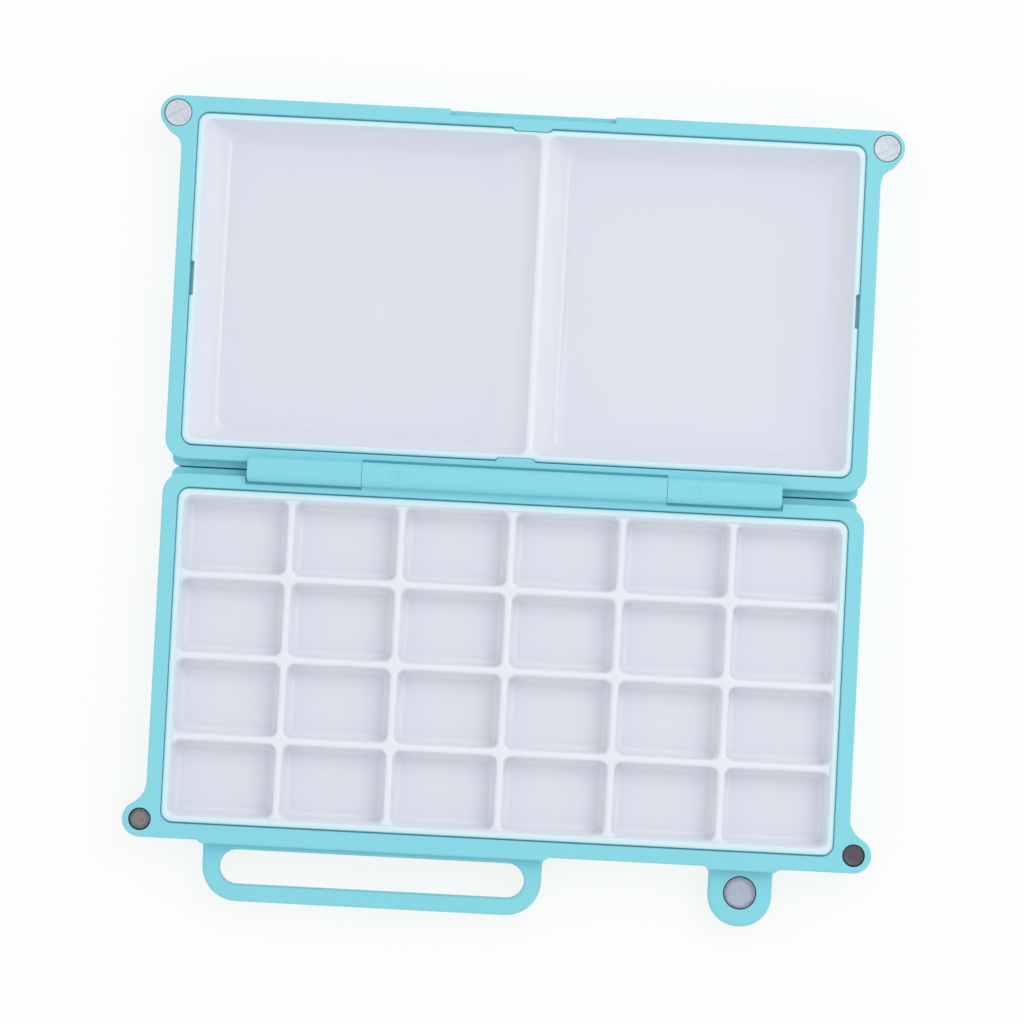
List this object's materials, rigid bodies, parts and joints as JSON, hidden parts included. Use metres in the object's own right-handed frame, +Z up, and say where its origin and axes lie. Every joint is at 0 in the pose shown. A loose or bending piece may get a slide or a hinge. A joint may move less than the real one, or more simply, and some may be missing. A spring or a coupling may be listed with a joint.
{
  "type": "watercolour palette",
  "caption": "Pocket watercolour palette: two hinged halves with a lift-out tray of paint wells, a mixing tray, corner magnets, a carrying loop and a magnetic cup tab.",
  "frame": {"origin": "centre of the base half's underside, without its ears, handle and tab", "axes": "+X along the hinge, to the right when the handle is nearest; +Y from the base to the opened lid; +Z up, out of the wells"},
  "size_m": [0.1384, 0.1489, 0.0123],
  "materials": {
    "case_plastic": "satin turquoise moulding",
    "tray_plastic": "smooth white moulding",
    "pin_steel": "drawn steel wire",
    "bright_magnet": "nickel plating, slightly dulled",
    "dark_magnet": "dull dark plating"
  },
  "bodies": {
    "base": {"base_case": "case_plastic", "well_tray": "tray_plastic", "hinge_pin": "pin_steel", "base_magnet_left": "dark_magnet", "base_magnet_right": "dark_magnet", "cup_magnet": "bright_magnet"},
    "lid": {"lid_case": "case_plastic", "mixing_tray": "tray_plastic", "lid_magnet_left": "bright_magnet", "lid_magnet_right": "bright_magnet"}
  },
  "joints": [
    {"name": "lid_hinge", "type": "hinge", "parent": "base", "child": "lid", "pos_m": [0, 0.03447, 0.01], "axis": [1, 0, 0], "range_deg": [0, 180]}
  ]
}
